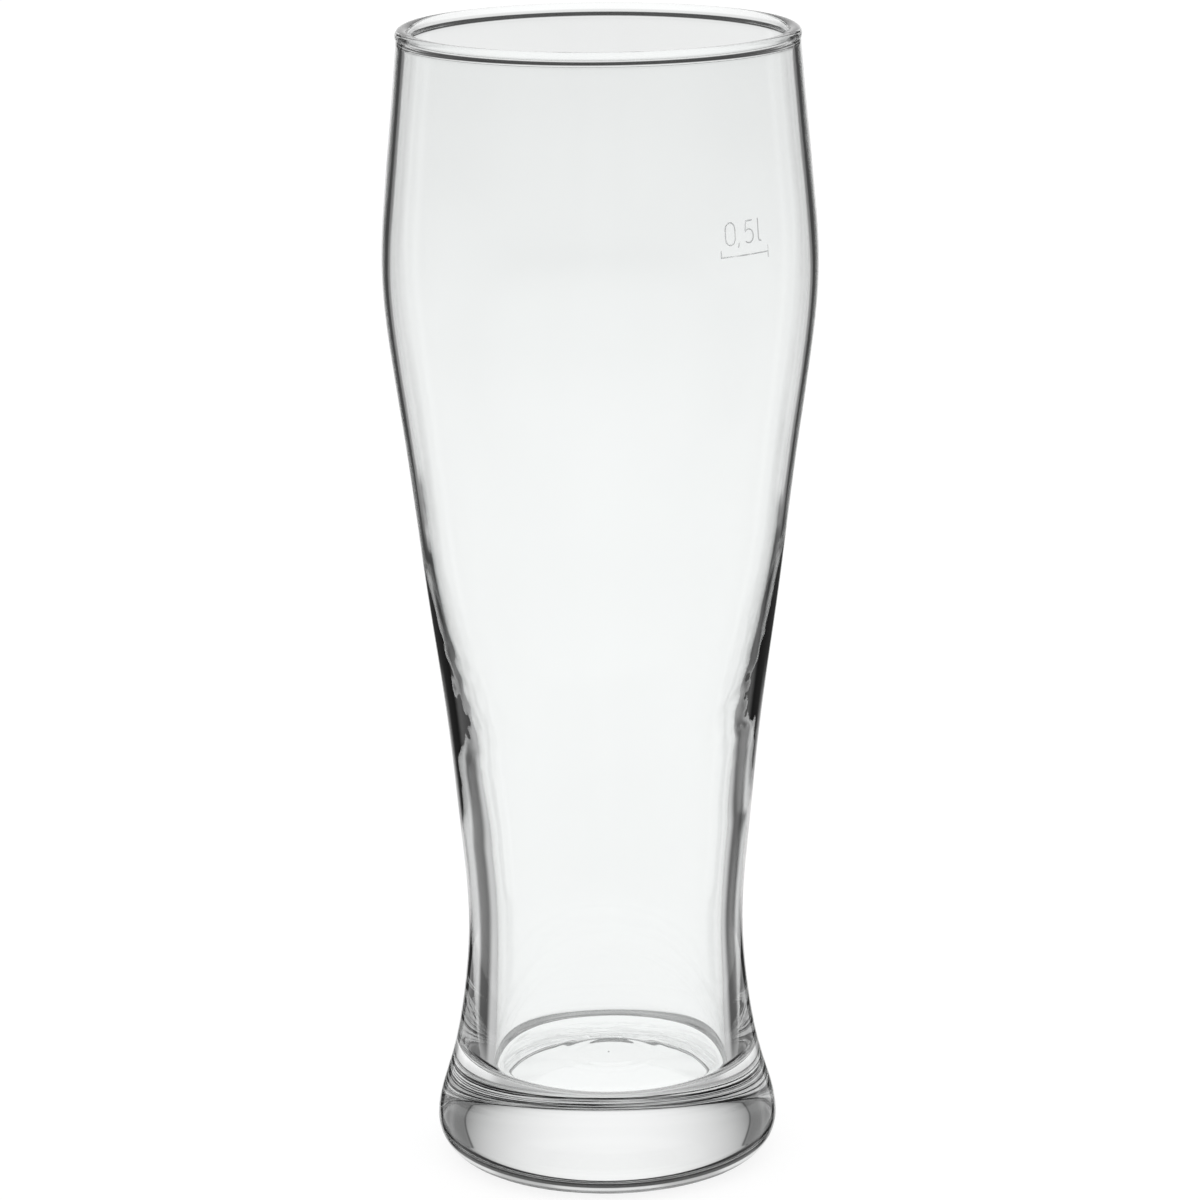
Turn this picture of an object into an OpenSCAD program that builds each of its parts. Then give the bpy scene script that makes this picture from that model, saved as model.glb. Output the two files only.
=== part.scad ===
// Half-litre wheat beer glass, pressed and blown in one piece.
// The wall is one revolved section: a heavy solid foot, a narrow waist, a long taper,
// a full belly drawn in towards the mouth, and a fire-polished bead at the rim.
// Each module below is one zone of that section, and the zones meet face to face.

/* [Overall] */
// Height from the table to the top of the rim
glass_h = 225; // [215:1:240]

/* [Outline] */
// Diameter over the widest part of the foot
foot_d = 67.6; // [64:0.2:74]
// Diameter at the waist, the narrowest part
waist_d = 54.4; // [50:0.2:58]
// Height of the waist above the table
waist_h = 50; // [44:1:58]
// Diameter of the belly, the widest part
belly_d = 84; // [78:0.5:92]
// Height of the belly above the table
belly_h = 180; // [165:1:190]
// Diameter of the wall just below the rim bead
mouth_d = 76.8; // [72:0.2:82]

/* [Rim] */
// Thickness of the rounded bead along the rim
bead_d = 2.7; // [2.2:0.1:3.6]
// How far the bead stands proud of the wall outside
bead_proud = 0.3; // [0.1:0.05:0.6]
// Height of the plain collar of wall that belongs to the rim
collar_h = 3.2; // [2:0.1:6]

/* [Wall] */
// Wall thickness of the bowl
bowl_wall = 1.9; // [1.5:0.1:2.4]
// Wall thickness of the lower, pressed part
well_wall = 4.8; // [3.5:0.1:6]
// Height where the heavy wall starts to thin
thin_from_h = 74; // [66:1:80]
// Height where the wall has reached the bowl's thickness
thin_to_h = 116; // [104:1:130]

/* [Foot] */
// Radius of the rounded heel between the foot's side and the table
heel_r = 7.4; // [5:0.1:10]
// Thickness of the solid glass under the drink
base_h = 18.6; // [15:0.1:24]
// Diameter of the drink space at its floor, over the fillet
floor_d = 48; // [43:0.2:50]
// Radius of the fillet round the floor
floor_r = 2; // [1:0.5:4]
// Width of the flat ring that the glass stands on
ring_w = 4; // [2:0.1:6]
// Width of the curved rim between the standing ring and the ceiling of the hollow inside it
punt_rim_w = 0.8; // [0.5:0.1:4]
// Depth of the hollow under the foot, beside its rim
punt_depth = 0.8; // [0.4:0.1:3]
// How much further the ceiling of the hollow rises at its centre
punt_crown = 0.3; // [0:0.1:1.5]

/* [Hidden] */

// Clear soda-lime glass, with its faint grey-green cast
glass_colour = [0.86, 0.91, 0.90, 0.45];
// Height between two points of a sampled curve
curve_step = 2.5;
// Steps along a quarter round
quarter_steps = 8;
$fn = 120;

// Outline between two named sizes: share of the way up, share of the change in radius.
// From the heel in to the waist
skirt_shares = [[0.25, 0.36], [0.5, 0.73], [0.75, 0.93]];
// From the waist out to the belly
taper_shares = [[0.12, 0.08], [0.3, 0.24], [0.5, 0.48], [0.7, 0.70], [0.87, 0.91]];
// From the belly in to the mouth
shoulder_shares = [[0.35, 0.27], [0.7, 0.67]];
// Wall between the two named thicknesses: share of the way up, share of the thinning
thinning_shares = [[0.17, 0.10], [0.3, 0.37], [0.46, 0.64], [0.65, 0.81], [0.85, 0.93]];

bead_h = glass_h - bead_d / 2;
neck_h = glass_h - bead_d - collar_h;
bead_r = mouth_d / 2 + bead_proud - bead_d / 2;
foot_top_h = base_h + floor_r;
bowl_from_h = (thin_from_h + thin_to_h) / 2;
well_r = waist_d / 2 - well_wall;
ring_r = foot_d / 2 - heel_r;
punt_r = ring_r - ring_w;
ceiling_r = punt_r - punt_rim_w;

// Stations between a and b, placed by a table of shares
function between(a, b, shares) =
    [for (s = shares) [a[0] + s[0] * (b[0] - a[0]), a[1] + s[1] * (b[1] - a[1])]];

// Stations of the outline, as [height, radius]
heel_station = [heel_r, foot_d / 2];
waist_station = [waist_h, waist_d / 2];
belly_station = [belly_h, belly_d / 2];
mouth_station = [bead_h, mouth_d / 2];
outline = concat(
    [heel_station],
    between(heel_station, waist_station, skirt_shares),
    [waist_station],
    between(waist_station, belly_station, taper_shares),
    [belly_station],
    between(belly_station, mouth_station, shoulder_shares),
    [mouth_station]
);

// Stations of the wall from the waist up, as [height, thickness]
heavy_station = [thin_from_h, well_wall];
light_station = [thin_to_h, bowl_wall];
thicknesses = concat(
    [[waist_h, well_wall], heavy_station],
    between(heavy_station, light_station, thinning_shares),
    [light_station, [glass_h, bowl_wall]]
);

// Slope of the straight line from station i of a list to the next
function secant(list, i) = (list[i + 1][1] - list[i][1]) / (list[i + 1][0] - list[i][0]);

// Slope of the curve at station i: level at the first one and wherever the list turns back
function slope(list, i) =
    i == 0 ? 0
    : i == len(list) - 1 ? secant(list, i - 1)
    : secant(list, i - 1) * secant(list, i) <= 0 ? 0
    : 2 * secant(list, i - 1) * secant(list, i) / (secant(list, i - 1) + secant(list, i));

// Cubic from station i of a list to the next, t running from 0 to 1
function cubic(list, i, t) =
    let (h = list[i + 1][0] - list[i][0])
    (2 * t - 3) * t * t * (list[i][1] - list[i + 1][1]) + list[i][1]
    + t * (1 - t) * h * ((1 - t) * slope(list, i) - t * slope(list, i + 1));

// Last station of a list at or below height z
function station_below(list, z, i = 0) =
    i < len(list) - 2 && list[i + 1][0] <= z ? station_below(list, z, i + 1) : i;

// Smooth curve through a list of stations, at height z
function curve_at(list, z) =
    let (i = station_below(list, z))
    cubic(list, i, (z - list[i][0]) / (list[i + 1][0] - list[i][0]));

// Radius of the outside of the glass at height z
function outer_r(z) = curve_at(outline, z);

// Wall thickness above the waist
function wall(z) = curve_at(thicknesses, z);

// Radius of the well from the floor to the waist, with a draft that fades out upwards
function draft_r(z) =
    well_r + (floor_d / 2 - well_r) * pow((waist_h - z) / (waist_h - base_h), 2);

// Radius of the inside of the glass at height z
function inner_r(z) = z < waist_h ? draft_r(z) : outer_r(z) - wall(z);

// Heights of the outline's stations that lie between z0 and z1, with both ends
function cuts(z0, z1) =
    concat([z0], [for (s = outline) if (s[0] > z0 && s[0] < z1) s[0]], [z1]);

// Heights from z0 up to z1, about one curve step apart, with the outline's stations on the way
function heights(z0, z1) =
    let (c = cuts(z0, z1))
    [for (i = [0:len(c) - 2])
        let (n = ceil((c[i + 1] - c[i]) / curve_step))
        for (k = [(i == 0 ? 0 : 1):n]) c[i] + (c[i + 1] - c[i]) * k / n];

function reversed(list) = [for (i = [len(list) - 1:-1:0]) list[i]];

// Section of the wall from z0 to z1: up the outside, then down the inside
function wall_section(z0, z1) = concat(
    [for (z = heights(z0, z1)) [outer_r(z), z]],
    [for (z = reversed(heights(z0, z1))) [inner_r(z), z]]
);

// Quarter round that leads from the wall of the well down to its floor
fillet_r = draft_r(foot_top_h) - floor_r;
floor_fillet = [
    for (i = [0:quarter_steps])
        let (a = 90 * i / quarter_steps)
        [fillet_r + floor_r * cos(a), foot_top_h - floor_r * sin(a)]
];

// Share from 0 to 1 that starts and ends level
function smooth_share(t) = t * t * (3 - 2 * t);

// The hollow under the foot, from its centre out to the standing ring
hollow = concat(
    [for (i = [0:quarter_steps - 1])
        let (t = i / quarter_steps)
        [ceiling_r * t, punt_depth + punt_crown * (1 - t * t)]],
    [for (i = [0:2 * quarter_steps])
        let (t = i / (2 * quarter_steps))
        [ceiling_r + punt_rim_w * t, punt_depth * (1 - smooth_share(t))]]
);

module foot() {
    color(glass_colour) rotate_extrude() {
        polygon(concat(
            hollow,
            [[ring_r, 0], [ring_r, heel_r]],
            [for (z = heights(heel_r, foot_top_h)) [outer_r(z), z]],
            floor_fillet,
            [[0, base_h]]
        ));
        intersection() {
            translate([ring_r, heel_r]) circle(r = heel_r);
            translate([ring_r, 0]) square([heel_r, heel_r]);
        }
    }
}

module waist() {
    color(glass_colour) rotate_extrude() polygon(wall_section(foot_top_h, bowl_from_h));
}

module bowl() {
    color(glass_colour) rotate_extrude() polygon(wall_section(bowl_from_h, neck_h));
}

module rim() {
    color(glass_colour) rotate_extrude() {
        polygon(wall_section(neck_h, bead_h));
        translate([bead_r, bead_h]) circle(d = bead_d);
    }
}

foot();
waist();
bowl();
rim();
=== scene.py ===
import math

import bpy
import numpy as np
from bpy.props import FloatProperty, FloatVectorProperty, IntProperty, PointerProperty
from mathutils import Matrix, Vector, noise


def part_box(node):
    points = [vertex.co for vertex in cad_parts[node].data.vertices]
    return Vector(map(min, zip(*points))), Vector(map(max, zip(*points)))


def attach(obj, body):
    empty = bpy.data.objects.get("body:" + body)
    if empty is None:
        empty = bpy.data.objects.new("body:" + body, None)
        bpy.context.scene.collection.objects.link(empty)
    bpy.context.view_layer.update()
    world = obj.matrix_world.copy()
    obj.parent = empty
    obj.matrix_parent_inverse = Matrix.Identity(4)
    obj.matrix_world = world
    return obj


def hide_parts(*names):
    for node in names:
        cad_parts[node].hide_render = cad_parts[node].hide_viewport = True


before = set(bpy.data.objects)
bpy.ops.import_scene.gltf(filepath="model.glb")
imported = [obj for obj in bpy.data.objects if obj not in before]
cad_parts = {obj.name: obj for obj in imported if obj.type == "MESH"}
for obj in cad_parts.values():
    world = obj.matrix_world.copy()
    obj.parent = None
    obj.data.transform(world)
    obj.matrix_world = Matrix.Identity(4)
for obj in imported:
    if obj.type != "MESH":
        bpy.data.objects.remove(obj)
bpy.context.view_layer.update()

bl_info = {
    "name": "Wheat beer glass",
    "version": (1, 0, 0),
    "blender": (4, 5, 0),
    "location": "View3D > Sidebar > Glass",
    "description": "Half-litre wheat beer glass with its fill mark, on a bright-field studio stage",
    "category": "Object",
}

MM = 0.001
BODY = "root"

# The frame's own sizes, which the visible glass keeps to.
FOOT_LOW, FOOT_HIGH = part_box("foot")
BOWL_LOW, BOWL_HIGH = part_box("bowl")
RIM_LOW, RIM_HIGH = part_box("rim")

# Spacing of the rows of points across the turned grooves of the standing ring.
GROOVE_STEP = 0.12 * MM

# Where the bead's round leaves its outer and its inner fillet, in degrees from level.
BEAD_START, BEAD_END = -25, 208

# The light: panels of the sweep round the glass, and how much light a black card takes away.
SWEEP_PANELS = 8
CARD_BLACKNESS = 0.92

# Outline between two named sizes: share of the way up, share of the change in radius.
SKIRT_SHARES = ((0.25, 0.37), (0.6, 0.83))
TAPER_SHARES = ((0.12, 0.08), (0.3, 0.24), (0.5, 0.48), (0.7, 0.70), (0.87, 0.91))
SHOULDER_SHARES = ((0.3, 0.21), (0.7, 0.67))
# Wall thickness from the heavy wall to the bowl's, in the same way.
THINNING_SHARES = (
    (0.051, 0.013), (0.119, 0.057), (0.237, 0.153), (0.305, 0.214), (0.339, 0.255), (0.373, 0.312),
    (0.424, 0.415), (0.475, 0.517), (0.542, 0.636), (0.61, 0.733), (0.678, 0.815), (0.746, 0.884),
    (0.814, 0.939), (0.881, 0.977), (0.949, 0.996))


class Sizes(bpy.types.PropertyGroup):
    """Sizes of the glass itself."""

    height: FloatProperty(
        name="Height", description="From the table to the top of the rim",
        default=RIM_HIGH.z, unit="LENGTH")
    foot_radius: FloatProperty(
        name="Foot radius", description="Radius over the widest part of the foot",
        default=FOOT_HIGH.x, unit="LENGTH")
    waist_radius: FloatProperty(
        name="Waist radius", description="Radius at the narrowest part",
        default=27.2 * MM, unit="LENGTH")
    waist_height: FloatProperty(
        name="Waist height", description="Height of the narrowest part above the table",
        default=50 * MM, unit="LENGTH")
    belly_radius: FloatProperty(
        name="Belly radius", description="Radius of the widest part",
        default=BOWL_HIGH.x, unit="LENGTH")
    belly_height: FloatProperty(
        name="Belly height", description="Height of the widest part above the table",
        default=180 * MM, unit="LENGTH")
    mouth_radius: FloatProperty(
        name="Mouth radius", description="Radius of the wall just below the bead",
        default=38.4 * MM, unit="LENGTH")
    bead_radius: FloatProperty(
        name="Bead radius", description="Half the thickness of the rounded rim",
        default=1.35 * MM, unit="LENGTH")
    bead_proud: FloatProperty(
        name="Bead proud", description="How far the bead stands out past the wall",
        default=0.3 * MM, unit="LENGTH")
    bowl_wall: FloatProperty(
        name="Bowl wall", description="Wall thickness of the bowl",
        default=1.9 * MM, unit="LENGTH")
    well_wall: FloatProperty(
        name="Well wall", description="Wall thickness of the lower part",
        default=4.8 * MM, unit="LENGTH")
    thin_from: FloatProperty(
        name="Thin from", description="Height where the heavy wall starts to thin",
        default=66 * MM, unit="LENGTH")
    thin_to: FloatProperty(
        name="Thin to", description="Height where the wall has reached the bowl's thickness",
        default=125 * MM, unit="LENGTH")
    wrinkle_height: FloatProperty(
        name="Wrinkle height", description="Height where the inside is wrinkled most",
        default=97 * MM, unit="LENGTH")
    heel_radius: FloatProperty(
        name="Heel radius", description="Radius of the round between the foot's side and the table",
        default=7.4 * MM, unit="LENGTH")
    base_height: FloatProperty(
        name="Base height", description="Thickness of the solid glass under the drink",
        default=18.6 * MM, unit="LENGTH")
    floor_radius: FloatProperty(
        name="Floor radius", description="Radius of the floor of the drink space, over its fillet",
        default=24 * MM, unit="LENGTH")
    draft_top: FloatProperty(
        name="Draft top", description="Height below which the wall thickens towards the floor",
        default=58 * MM, unit="LENGTH")
    floor_fillet: FloatProperty(
        name="Floor fillet", description="Radius of the fillet round the floor",
        default=2 * MM, unit="LENGTH")
    ring_width: FloatProperty(
        name="Ring width", description="Width of the flat ring that the glass stands on",
        default=4 * MM, unit="LENGTH")
    punt_rim: FloatProperty(
        name="Punt rim", description="Width of the curved rim between the ring and the hollow's ceiling",
        default=0.8 * MM, unit="LENGTH")
    punt_depth: FloatProperty(
        name="Punt depth", description="Depth of the hollow under the foot, beside its rim",
        default=0.8 * MM, unit="LENGTH")
    punt_crown: FloatProperty(
        name="Punt crown", description="How much further the hollow's ceiling rises at its centre",
        default=0.3 * MM, unit="LENGTH")
    groove_depth: FloatProperty(
        name="Groove depth", description="Depth of the fine turned grooves of the standing ring",
        default=0.03 * MM, unit="LENGTH")
    well_aside: FloatProperty(
        name="Well aside", description="How far the drink space stands off the axis, low down",
        default=0.5 * MM, unit="LENGTH")
    groove_from: FloatProperty(
        name="Groove from", description="Radius where the turned grooves begin",
        default=21.5 * MM, unit="LENGTH")
    groove_to: FloatProperty(
        name="Groove to", description="Height on the heel where the turned grooves fade",
        default=1 * MM, unit="LENGTH")
    segments: IntProperty(
        name="Segments", description="Steps round the glass", default=216, min=48)


class Mark(bpy.types.PropertyGroup):
    """Place and size of the fill mark."""

    line_height: FloatProperty(
        name="Line height", description="Height of the fill line above the table",
        default=186.4 * MM, unit="LENGTH")
    middle: FloatProperty(
        name="Middle", description="Turn of the mark's middle, from the front to the right",
        default=math.radians(40.4), unit="ROTATION")
    length: FloatProperty(
        name="Length", description="Length of the fill line", default=11.7 * MM, unit="LENGTH")
    figure_height: FloatProperty(
        name="Figure height", description="Height of the figures over the line",
        default=4.3 * MM, unit="LENGTH")
    stroke: FloatProperty(
        name="Stroke", description="Width of a stroke", default=0.26 * MM, unit="LENGTH")
    thickness: FloatProperty(
        name="Thickness", description="How far the etched strokes stand proud of the glass",
        default=0.03 * MM, unit="LENGTH")


class Finish(bpy.types.PropertyGroup):
    """Optics and tints of the glass."""

    ior: FloatProperty(
        name="IOR", description="Refractive index of soda-lime glass", default=1.52)
    ring_roughness: FloatProperty(
        name="Ring roughness", description="Roughness of the worn streaks on the standing ring",
        default=0.9)
    tint: FloatVectorProperty(
        name="Tint", description="Colour of light that has crossed the wall",
        subtype="COLOR", size=4, default=(0.985, 0.995, 0.992, 1.0))
    etching: FloatVectorProperty(
        name="Etching", description="Colour of the etched fill mark",
        subtype="COLOR", size=4, default=(0.5, 0.51, 0.51, 1.0))


class Stage(bpy.types.PropertyGroup):
    """Camera, floor and light."""

    camera_distance: FloatProperty(
        name="Camera distance", description="From the glass's axis to the camera, along the floor",
        default=0.909, unit="LENGTH")
    camera_height: FloatProperty(
        name="Camera height", description="Above the table", default=0.340, unit="LENGTH")
    camera_pitch: FloatProperty(
        name="Camera pitch", description="How far the camera looks down",
        default=math.radians(14.036), unit="ROTATION")
    camera_left: FloatProperty(
        name="Camera left", description="How far the camera stands left of the glass's axis",
        default=0.6 * MM, unit="LENGTH")
    camera_roll: FloatProperty(
        name="Camera roll", description="How far the photograph leans",
        default=math.radians(0.5), unit="ROTATION")
    lens: FloatProperty(
        name="Lens", description="Focal length in millimetres on a 36 mm sensor", default=143.8)


# Outline and section

class Curve:
    """A smooth curve of radius against height through stations, level at its first one."""

    def __init__(self, stations, level_end=True):
        self.z = np.array([s[0] for s in stations])
        self.r = np.array([s[1] for s in stations])
        step = np.diff(self.z)
        secant = np.diff(self.r) / step
        count = len(stations)
        rows = np.zeros((count, count))
        right = np.zeros(count)
        rows[0, 0] = 1
        rows[-1, -1] = 1
        if not level_end:
            rows[-1, -2:] = 1, 2
            right[-1] = 3 * secant[-1]
        for i in range(1, count - 1):
            rows[i, i - 1:i + 2] = step[i], 2 * (step[i - 1] + step[i]), step[i - 1]
            right[i] = 3 * (step[i] * secant[i - 1] + step[i - 1] * secant[i])
        self.slope = np.linalg.solve(rows, right)

    def __call__(self, z):
        i = int(np.clip(np.searchsorted(self.z, z, side="right") - 1, 0, len(self.z) - 2))
        step = self.z[i + 1] - self.z[i]
        t = (z - self.z[i]) / step
        ends = self.r[i] + (self.r[i + 1] - self.r[i]) * t * t * (3 - 2 * t)
        return ends + t * (1 - t) * step * ((1 - t) * self.slope[i] - t * self.slope[i + 1])


def between(a, b, shares):
    """Stations from a to b, both included, with those that a table of shares places between them."""
    middle = [(a[0] + up * (b[0] - a[0]), a[1] + out * (b[1] - a[1])) for up, out in shares]
    return [a, *middle, b]


def smooth_share(t):
    """0 below t = 0, 1 above t = 1, level at both."""
    t = min(max(t, 0), 1)
    return t * t * (3 - 2 * t)


class Section:
    """The wall of the glass, cut through its axis."""

    def __init__(self, sizes):
        self.s = sizes
        self.bead_height = sizes.height - sizes.bead_radius
        self.bead_centre = sizes.mouth_radius + sizes.bead_proud - sizes.bead_radius
        self.neck_height = self.bead_height - 1.45 * sizes.bead_radius
        heel = (sizes.heel_radius, sizes.foot_radius)
        waist = (sizes.waist_height, sizes.waist_radius)
        belly = (sizes.belly_height, sizes.belly_radius)
        mouth = (self.bead_height, sizes.mouth_radius)
        skirt, taper = between(heel, waist, SKIRT_SHARES), between(waist, belly, TAPER_SHARES)
        self.lower = Curve(skirt + taper[1:])
        self.shoulder = Curve(between(belly, mouth, SHOULDER_SHARES), level_end=False)
        self.thinning = Curve(between((0, sizes.well_wall), (1, sizes.bowl_wall), THINNING_SHARES))

    def outer(self, z):
        """Radius of the outside at height z."""
        return self.lower(z) if z < self.s.belly_height else self.shoulder(z)

    def wall(self, z, lift=0.0):
        """Wall thickness above the waist; lift raises the stretch where it thins."""
        share = (z - lift - self.s.thin_from) / (self.s.thin_to - self.s.thin_from)
        return self.thinning(min(max(share, 0), 1))

    def inner(self, z, lift=0.0):
        """Radius of the inside at height z."""
        s = self.s
        share = max(s.draft_top - z, 0) / (s.draft_top - s.base_height)
        flare = self.outer(s.base_height) - s.well_wall - s.floor_radius
        return self.outer(z) - self.wall(z, lift) - flare * share ** 3


def steps(low, high, spacing):
    """Evenly spaced values from low to high, about spacing apart, both ends included."""
    count = max(1, round(abs(high - low) / spacing))
    return [low + (high - low) * i / count for i in range(count + 1)]


def arc(centre_r, centre_z, radius, start, end, count):
    """Points of a circle in the section, from one angle to another, in degrees."""
    return [
        (centre_r + radius * math.cos(math.radians(a)), centre_z + radius * math.sin(math.radians(a)))
        for a in steps(start, end, abs(end - start) / count)
    ]


def rounded(before, corner, after, count):
    """Points that round a corner off, without its two ends."""
    made = []
    for i in range(1, count):
        t = i / count
        weights = ((1 - t) ** 2, 2 * t * (1 - t), t * t)
        made.append(tuple(
            sum(w * p[axis] for w, p in zip(weights, (before, corner, after))) for axis in (0, 1)))
    return made


def under_rows(section):
    """From the centre of the hollow under the foot out over the standing ring and up the heel."""
    s = section.s
    ring = s.foot_radius - s.heel_radius
    rim = ring - s.ring_width
    ceiling = rim - s.punt_rim
    rows = []
    for r in steps(0, ceiling, 0.5 * MM):
        rows.append(("under", r, s.punt_depth + s.punt_crown * (1 - (r / ceiling) ** 2)))
    for r in steps(ceiling, rim, GROOVE_STEP)[1:]:
        rows.append(("under", r, s.punt_depth * (1 - smooth_share((r - ceiling) / s.punt_rim))))
    rows += [("under", r, 0) for r in steps(rim, ring, GROOVE_STEP)[1:]]
    low = arc(ring, s.heel_radius, s.heel_radius, -90, -45, round(0.8 * s.heel_radius / GROOVE_STEP))
    high = arc(ring, s.heel_radius, s.heel_radius, -45, 0, 20)
    rows += [("heel", r, z) for r, z in low[1:] + high[1:]]
    return rows


def outside_rows(section):
    """Up the outside to just under the bead."""
    low, top = section.s.heel_radius, section.neck_height
    return [("outside", section.outer(z), z) for z in steps(low, top, 1.0 * MM)[1:]]


def bead_rows(section):
    """Over the rounded rim, with a small fillet where it meets the wall on either side."""
    centre_r, centre_z, radius = section.bead_centre, section.bead_height, section.s.bead_radius
    low = section.neck_height
    outer_foot = (section.outer(low), low)
    inner_foot = (section.inner(low), low)
    circle = arc(centre_r, centre_z, radius, BEAD_START, BEAD_END, 44)
    outer_corner_z, inner_corner_z = centre_z - 0.7 * radius, centre_z - 0.95 * radius
    outer_corner = (section.outer(outer_corner_z), outer_corner_z)
    inner_corner = (section.inner(inner_corner_z), inner_corner_z)
    rows = rounded(outer_foot, outer_corner, circle[0], 10)
    rows += circle
    rows += rounded(circle[-1], inner_corner, inner_foot, 10)
    rows.append(inner_foot)
    return [("bead", r, z) for r, z in rows]


def inside_rows(section):
    """Down the inside, round the fillet and in over the floor to the axis."""
    s = section.s
    fillet_top = s.base_height + s.floor_fillet
    rows = [("inside", section.inner(z), z) for z in steps(section.neck_height, fillet_top, 1.0 * MM)[1:]]
    centre_r = section.inner(fillet_top) - s.floor_fillet
    rows += [("fillet", r, z) for r, z in arc(centre_r, fillet_top, s.floor_fillet, 0, -90, 14)[1:]]
    rows += [("floor", r, s.base_height) for r in steps(centre_r, 0, 0.35 * MM)[1:]]
    return rows


def wave(value, length, phase=0.0):
    """A sine of a length along the surface."""
    return math.sin(2 * math.pi * value / length + phase)


def grooves(s, r, z, angle):
    """Height of the fine turned grooves on the standing ring and the lowest part of the heel."""
    share = smooth_share((r - s.groove_from) / (1 * MM)) * (1 - smooth_share((z - s.groove_to) / (1.5 * MM)))
    ring = Vector((math.cos(angle), math.sin(angle), 0))
    fine = noise.noise(ring * 4 + Vector((0, 0, (r + z) / (0.4 * MM))))
    broad = noise.noise(ring * 2.5 + Vector((3, 0, (r + z) / (1.1 * MM))))
    return share * max(fine + 1.5 * broad + 0.4, 0) * s.groove_depth


def thinning_lift(angle):
    """How much higher the wall thins at an angle: most on the right, not at all on the left."""
    return (2.5 + 2.5 * math.cos(angle - 0.2) + 0.4 * math.cos(3 * angle + 0.9)) * MM


def placed(section, zone, r, z, angle):
    """A point of the section at an angle, with the small unevenness of pressed and blown glass."""
    s = section.s
    if zone == "inside":
        r = section.inner(z, thinning_lift(angle))
        thinning = math.exp(-((z - s.wrinkle_height) / (12 * MM)) ** 2)
        wrinkle = wave(z, 8 * MM, 3 * math.sin(2 * angle)) * 0.006 + wave(z, 5 * MM, 5 * angle) * 0.003
        spot = Vector((12 * math.cos(angle), 12 * math.sin(angle), z / (3 * MM)))
        r += thinning * (wrinkle + 0.04 * noise.noise(spot)) * MM
        r += 0.006 * MM * wave(z, 31 * MM, 3 * angle) + 0.004 * MM * wave(z, 17 * MM, -2 * angle)
    if zone == "floor":
        near = smooth_share((14 * MM - r) / (6 * MM)) * smooth_share((r - 4 * MM) / (4 * MM))
        z += near * 0.02 * MM * wave(r, 3.2 * MM, 0.4 * math.sin(angle))
    if zone in ("under", "heel"):
        z += grooves(s, r, z, angle)
    aside = s.well_aside * (1 - smooth_share((z - s.waist_height) / (s.thin_to - s.waist_height)))
    if zone not in ("inside", "fillet", "floor"):
        aside = 0
    return Vector((r * math.cos(angle) + aside, r * math.sin(angle), z))


def revolved_mesh(name, section, rows, segments):
    """One closed mesh from rows of the section; the first and last row lie on the axis."""
    verts = [Vector((0, 0, rows[0][2]))]
    for zone, r, z in rows[1:-1]:
        verts += [placed(section, zone, r, z, 2 * math.pi * j / segments) for j in range(segments)]
    verts.append(Vector((0, 0, rows[-1][2])))
    rings = len(rows) - 2
    last = len(verts) - 1
    faces = []
    for j in range(segments):
        k = (j + 1) % segments
        faces.append((0, 1 + k, 1 + j))
        for i in range(rings - 1):
            a, b = 1 + i * segments, 1 + (i + 1) * segments
            faces.append((a + j, a + k, b + k, b + j))
        a = 1 + (rings - 1) * segments
        faces.append((a + j, a + k, last))
    mesh = bpy.data.meshes.new(name)
    mesh.from_pydata(verts, [], faces)
    mesh.validate()
    for polygon in mesh.polygons:
        polygon.use_smooth = True
    mesh.update()
    return mesh


# Fill mark

def turned(centre, radii, start, end, count):
    """Points of an upright oval from one angle to another, in degrees."""
    return [
        (centre[0] + radii[0] * math.cos(math.radians(a)), centre[1] + radii[1] * math.sin(math.radians(a)))
        for a in steps(start, end, abs(end - start) / count)
    ]


def figure_strokes():
    """Strokes of a plain 0,5 l in a square of the figures' height, from the middle of the mark."""
    nought = turned((-0.84, 0.68), (0.26, 0.3), 0, 180, 10) + turned((-0.84, 0.3), (0.26, 0.3), 180, 360, 10)
    comma = [(-0.36, 0.07), (-0.42, -0.13)]
    five = [(0.44, 0.98), (0.05, 0.96), (0, 0.55)] + turned((0.2, 0.31), (0.27, 0.3), 140, -135, 12)
    litre = [(0.78, 1.02), (0.78, 0.14), (0.82, 0.05), (0.95, 0.02)]
    return [nought + nought[:1], comma, five, litre]


def mark_strokes(mark):
    """Strokes of the whole mark, in metres along the glass and up from the fill line."""
    half = mark.length / 2
    lines = [
        [(-half, 0), (half, 0)],
        [(half, -1.1 * MM), (half, 1.2 * MM)],
        [(-half, -0.1 * MM), (-half, 1.4 * MM)],
    ]
    lift = 2.1 * MM
    size = mark.figure_height
    return lines + [[(x * size, lift + y * size) for x, y in stroke] for stroke in figure_strokes()]


def finely(stroke, spacing):
    """A stroke with more points, so that it bends round the glass."""
    made = [stroke[0]]
    for a, b in zip(stroke, stroke[1:]):
        count = max(1, math.ceil(math.dist(a, b) / spacing))
        made += [(a[0] + (b[0] - a[0]) * i / count, a[1] + (b[1] - a[1]) * i / count)
                 for i in range(1, count + 1)]
    return made


def stroke_sides(stroke, width):
    """The left and right side of a stroke, square to its course at every point."""
    sides = []
    last = len(stroke) - 1
    for i, point in enumerate(stroke):
        before, after = stroke[max(i - 1, 0)], stroke[min(i + 1, last)]
        along = Vector((after[0] - before[0], after[1] - before[1])).normalized()
        across = Vector((-along.y, along.x)) * width / 2
        sides.append([(point[0] + way * across.x, point[1] + way * across.y) for way in (1, -1)])
    return sides


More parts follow.
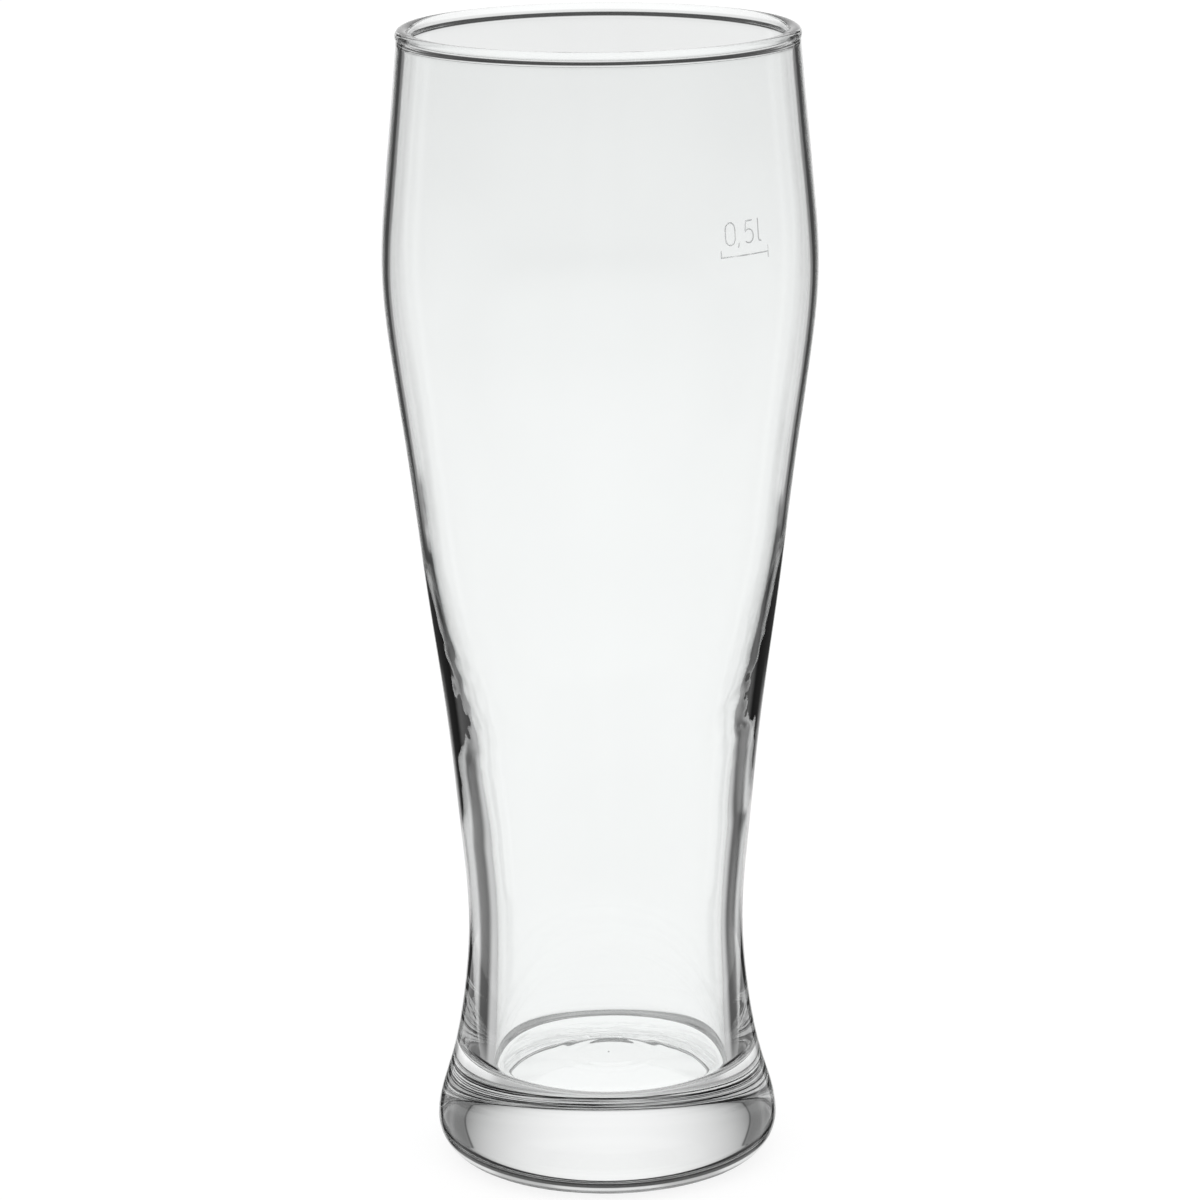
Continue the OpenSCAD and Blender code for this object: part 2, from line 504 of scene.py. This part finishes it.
def mark_mesh(name, section, mark):
    """One closed ribbon for each stroke, lying on the outside of the glass."""
    verts, faces = [], []
    sunk = 0.3
    round_radius = section.outer(mark.line_height)
    for stroke in mark_strokes(mark):
        first = len(verts)
        rows = stroke_sides(finely(stroke, 0.4 * MM), mark.stroke)
        for sides in rows:
            for proud, (along, up) in ((0, sides[0]), (0, sides[1]), (1, sides[1]), (1, sides[0])):
                z = mark.line_height + up
                r = section.outer(z) + (proud - sunk) * mark.thickness
                turn = mark.middle + along / round_radius
                verts.append(Vector((r * math.sin(turn), -r * math.cos(turn), z)))
        for i in range(len(rows) - 1):
            a = first + 4 * i
            faces += [(a + k, a + (k + 1) % 4, a + 4 + (k + 1) % 4, a + 4 + k) for k in range(4)]
        end = first + 4 * (len(rows) - 1)
        faces += [(first + 3, first + 2, first + 1, first), (end, end + 1, end + 2, end + 3)]
    mesh = bpy.data.meshes.new(name)
    mesh.from_pydata(verts, [], faces)
    mesh.validate()
    mesh.update()
    return mesh


# Shader maths

class Value:
    """A socket of a node tree that Python's own operators work on."""

    def __init__(self, tree, socket):
        self.tree = tree
        self.socket = socket

    def math(self, operation, *others):
        return self.tree.node("ShaderNodeMath", {"operation": operation}, [self, *others])

    def other(self, output):
        """Another output of the same node."""
        return Value(self.tree, self.socket.node.outputs[output])

    def eased(self, low, high, at_low=0.0, at_high=1.0):
        """This value carried smoothly from at_low to at_high between low and high."""
        return self.tree.node(
            "ShaderNodeMapRange", {"interpolation_type": "SMOOTHSTEP"},
            [self, low, high, at_low, at_high])

    def __add__(self, other):
        return self.math("ADD", other)

    def __sub__(self, other):
        return self.math("SUBTRACT", other)

    def __rsub__(self, other):
        return self.tree.node("ShaderNodeMath", {"operation": "SUBTRACT"}, [other, self])

    def __mul__(self, other):
        return self.math("MULTIPLY", other)

    def __truediv__(self, other):
        return self.math("DIVIDE", other)

    __radd__ = __add__
    __rmul__ = __mul__


class Tree:
    """A node tree, with one method that makes any node."""

    def __init__(self, tree):
        self.tree = tree
        self.tree.nodes.clear()

    def node(self, kind, settings=None, inputs=None, output=0):
        """Makes a node, sets it up, then fills its sockets with numbers or links."""
        made = self.tree.nodes.new(kind)
        for key, value in (settings or {}).items():
            setattr(made, key, value)
        pairs = inputs.items() if isinstance(inputs, dict) else enumerate(inputs or [])
        for key, value in pairs:
            if isinstance(value, Value):
                self.tree.links.new(value.socket, made.inputs[key])
            else:
                made.inputs[key].default_value = value
        return Value(self, made.outputs[output]) if made.outputs else None


def ring_streaks(tree, place, sizes):
    """Share of wear, in fine rings, on the standing ring and the lowest part of the heel."""
    spot = tree.node("ShaderNodeSeparateXYZ", inputs=[place])
    across = (spot * spot + spot.other("Y") * spot.other("Y")).math("SQRT")
    course = tree.node("ShaderNodeCombineXYZ", inputs=[
        spot / across * 3.5, spot.other("Y") / across * 3.5, (across + spot.other("Z")) / (0.5 * MM)])
    rings = tree.node("ShaderNodeTexNoise", inputs={"Vector": course, "Scale": 1.0, "Detail": 2.0})
    zone = across.eased(sizes.groove_from, sizes.groove_from + 1 * MM)
    zone = zone * spot.other("Z").eased(sizes.groove_to, sizes.groove_to + 1.5 * MM, 1.0, 0.0)
    return rings.eased(0.38, 0.6) * zone


def clear_glass(name, sizes, finish):
    """Polished clear glass with a faint wave in its skin, the odd wipe mark and a worn standing ring."""
    material = bpy.data.materials.new(name)
    material.use_nodes = True
    tree = Tree(material.node_tree)
    place = tree.node("ShaderNodeTexCoord", output="Object")
    smears = tree.node("ShaderNodeTexNoise", inputs={"Vector": place, "Scale": 55.0, "Detail": 3.0})
    wiped = tree.node("ShaderNodeMapRange", {"clamp": True}, {
        "Value": smears, "From Min": 0.55, "From Max": 0.8, "To Min": 0.0, "To Max": 0.02})
    swirl = tree.node("ShaderNodeTexNoise", inputs={"Vector": place, "Scale": 90.0, "Detail": 2.0})
    skin = tree.node("ShaderNodeBump", inputs={
        "Strength": 0.02, "Distance": 0.0004, "Height": swirl})
    worn = ring_streaks(tree, place, sizes) * finish.ring_roughness
    shader = tree.node("ShaderNodeBsdfPrincipled", inputs={
        "Base Color": finish.tint,
        "Roughness": wiped + worn,
        "IOR": finish.ior,
        "Transmission Weight": 1.0,
        "Normal": skin,
    })
    tree.node("ShaderNodeOutputMaterial", inputs={"Surface": shader})
    return material


def etched(name, finish):
    """Fine grey etching, worn through in places."""
    material = bpy.data.materials.new(name)
    material.use_nodes = True
    tree = Tree(material.node_tree)
    place = tree.node("ShaderNodeTexCoord", output="Object")
    worn = tree.node("ShaderNodeTexNoise", inputs={"Vector": place, "Scale": 420.0, "Detail": 2.0})
    grain = tree.node("ShaderNodeTexNoise", inputs={"Vector": place, "Scale": 9000.0, "Detail": 1.0})
    shader = tree.node("ShaderNodeBsdfPrincipled", inputs={
        "Base Color": finish.etching,
        "Roughness": 0.75,
        "Alpha": worn.eased(0.3, 0.65, 0.1, 0.6),
        "Normal": tree.node("ShaderNodeBump", inputs={
            "Strength": 0.4, "Distance": 0.00002, "Height": grain}),
    })
    tree.node("ShaderNodeOutputMaterial", inputs={"Surface": shader})
    return material


def mixed(share, without, with_it):
    """Brightness without something, and with it, by share."""
    return share * with_it + (1 - share) * without


def sweep_light(rise, turn):
    """White sweep round the glass, from its rise in degrees and its turn in radians.

    It is dimmer between its eight panels, and dark where it ends, high up.
    """
    level = rise.eased(-14, -3.5, 1.06, 0.84)
    between_panels = (turn * SWEEP_PANELS).math("COSINE").eased(-0.75, 0.2, 0.35, 0.0)
    reach = rise.eased(-15, -11) * rise.eased(6, 10, 1.0, 0.0)
    top = rise.eased(4.5, 10, 1.0, 0.05)
    return level * (1 - between_panels * reach) * top


def card_light(rise, turn):
    """Studio that the glass mirrors: black cards, a soft box above and dim light behind, by degrees."""
    raised = rise.eased(-18.7, -16)
    centre = mixed(raised, 34, rise.eased(-15, -4, 20.4, 25))
    half_width, softness = 6.2, mixed(raised, 10, 4.1)
    card = ((turn - centre).math("ABSOLUTE") - half_width).eased(0, softness, 1.0, 0.0)
    card = card * rise.eased(-37, -27) * rise.eased(12, 13, 1.0, 0.0)
    table = mixed(rise.eased(-46, -17.2, 1.0, 0.0), turn.eased(-47, 164, 1.04, 0.14), 0.57)
    lamp = (turn - 49.5).math("ABSOLUTE").eased(0, 6.7, 0.35, 0.0) * rise.eased(-20, -15)
    edge = turn - rise.eased(8, 26, 31.4, 50)
    frame_line = edge.math("ABSOLUTE").eased(0, 1.2, 0.3, 1.0)
    soft_box = 0.97 - turn * turn * 0.0003
    beyond = turn.eased(90, 140, 0.16, 0.5)
    high = mixed(edge.eased(-2.5, 2.5), soft_box, beyond) * frame_line
    ceiling = 0.67
    high = mixed(rise.eased(38, 55), high, ceiling)
    return mixed(rise.eased(-3, 3), table + lamp, high) * (1 - card * CARD_BLACKNESS)


def stage_paint(name, colour, glow):
    """Matt paint for the floor, which gives a little light of its own."""
    material = bpy.data.materials.new(name)
    material.use_nodes = True
    tree = Tree(material.node_tree)
    shader = tree.node("ShaderNodeBsdfPrincipled", inputs={
        "Base Color": colour, "Roughness": 1.0, "Specular IOR Level": 0.0,
        "Emission Color": (1.0, 1.0, 1.0, 1.0), "Emission Strength": glow})
    tree.node("ShaderNodeOutputMaterial", inputs={"Surface": shader})
    return material


def linked(name, data):
    """A new object in the scene's own collection."""
    made = bpy.data.objects.new(name, data)
    bpy.context.scene.collection.objects.link(made)
    return made


class GLASS_OT_body(bpy.types.Operator):
    """Makes the glass as one piece, from the hollow under the foot to the bead"""

    bl_idname = "wheatglass.body"
    bl_label = "Glass body"

    def execute(self, context):
        sizes = context.scene.wheatglass_sizes
        section = Section(sizes)
        rows = under_rows(section) + outside_rows(section) + bead_rows(section) + inside_rows(section)
        mesh = revolved_mesh("glass_body", section, rows, sizes.segments)
        glass = linked("glass_body", mesh)
        glass.data.materials.append(clear_glass("clear_glass", sizes, context.scene.wheatglass_finish))
        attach(glass, BODY)
        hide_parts("foot", "waist", "bowl", "rim")
        return {"FINISHED"}


class GLASS_OT_mark(bpy.types.Operator):
    """Makes the fill mark on the right of the front: a line with end ticks, and plain figures over it"""

    bl_idname = "wheatglass.mark"
    bl_label = "Fill mark"

    def execute(self, context):
        section = Section(context.scene.wheatglass_sizes)
        mark = linked("fill_mark", mark_mesh("fill_mark", section, context.scene.wheatglass_mark))
        mark.data.materials.append(etched("etched_mark", context.scene.wheatglass_finish))
        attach(mark, BODY)
        return {"FINISHED"}


class GLASS_OT_stage(bpy.types.Operator):
    """Sets the floor, the light and the camera"""

    bl_idname = "wheatglass.stage"
    bl_label = "Stage"

    def execute(self, context):
        stage = context.scene.wheatglass_stage
        self.camera(context.scene, stage)
        self.floor()
        self.world(context.scene)
        return {"FINISHED"}

    def camera(self, scene, stage):
        data = bpy.data.cameras.new("camera")
        data.lens = stage.lens
        data.sensor_width = 36
        made = linked("camera", data)
        tilt = Matrix.Rotation(math.pi / 2 - stage.camera_pitch, 4, "X")
        roll = Matrix.Rotation(-stage.camera_roll, 4, "Z")
        place = Matrix.Translation((-stage.camera_left, -stage.camera_distance, stage.camera_height))
        made.matrix_world = place @ tilt @ roll
        scene.camera = made

    def floor(self):
        mesh = bpy.data.meshes.new("floor")
        reach = 6.0
        corners = [(-reach, -reach, 0), (reach, -reach, 0), (reach, reach, 0), (-reach, reach, 0)]
        mesh.from_pydata(corners, [], [(0, 1, 2, 3)])
        floor = linked("floor", mesh)
        floor.data.materials.append(stage_paint("pale_floor", (0.2, 0.2, 0.2, 1.0), 0.85))
        floor.visible_transmission = False
        floor.visible_glossy = False

    def world(self, scene):
        world = bpy.data.worlds.new("studio")
        scene.world = world
        world.use_nodes = True
        tree = Tree(world.node_tree)
        ray = tree.node("ShaderNodeSeparateXYZ", inputs=[tree.node("ShaderNodeTexCoord")])
        turn = ray.math("ARCTAN2", ray.other("Y")).math("ABSOLUTE")
        rise = ray.other("Z").math("ARCSINE").math("DEGREES")
        path = tree.node("ShaderNodeLightPath", output="Glossy Depth")
        turned = path.math("MINIMUM", 1.0)
        crossed = (turned + path.other("Transmission Depth")).math("MINIMUM", 1.0)
        inside = mixed(turned, sweep_light(rise, turn), card_light(rise, turn.math("DEGREES")))
        light = tree.node("ShaderNodeBackground", inputs=[mixed(crossed, 1.0, inside)])
        tree.node("ShaderNodeOutputWorld", inputs={"Surface": light})
        scene.view_settings.view_transform = "Standard"


class GLASS_PT_panel(bpy.types.Panel):
    """Lists the pieces of the glass and their sizes"""

    bl_idname = "GLASS_PT_panel"
    bl_label = "Wheat beer glass"
    bl_space_type = "VIEW_3D"
    bl_region_type = "UI"
    bl_category = "Glass"

    def draw(self, context):
        for key in GROUPS:
            group = getattr(context.scene, key)
            box = self.layout.box()
            for size in group.bl_rna.properties.keys():
                if size not in ("rna_type", "name"):
                    box.prop(group, size)
        for operator in OPERATORS:
            self.layout.operator(operator.bl_idname)


GROUPS = {
    "wheatglass_sizes": Sizes,
    "wheatglass_mark": Mark,
    "wheatglass_finish": Finish,
    "wheatglass_stage": Stage,
}
OPERATORS = (GLASS_OT_body, GLASS_OT_mark, GLASS_OT_stage)


def register():
    for made in (*GROUPS.values(), *OPERATORS, GLASS_PT_panel):
        bpy.utils.register_class(made)
    for key, group in GROUPS.items():
        setattr(bpy.types.Scene, key, PointerProperty(type=group))


def unregister():
    for key in GROUPS:
        delattr(bpy.types.Scene, key)
    for made in reversed((*GROUPS.values(), *OPERATORS, GLASS_PT_panel)):
        bpy.utils.unregister_class(made)


def main():
    register()
    bpy.ops.wheatglass.body()
    bpy.ops.wheatglass.mark()
    bpy.ops.wheatglass.stage()
    bpy.context.view_layer.update()


if __name__ == "__main__":
    main()
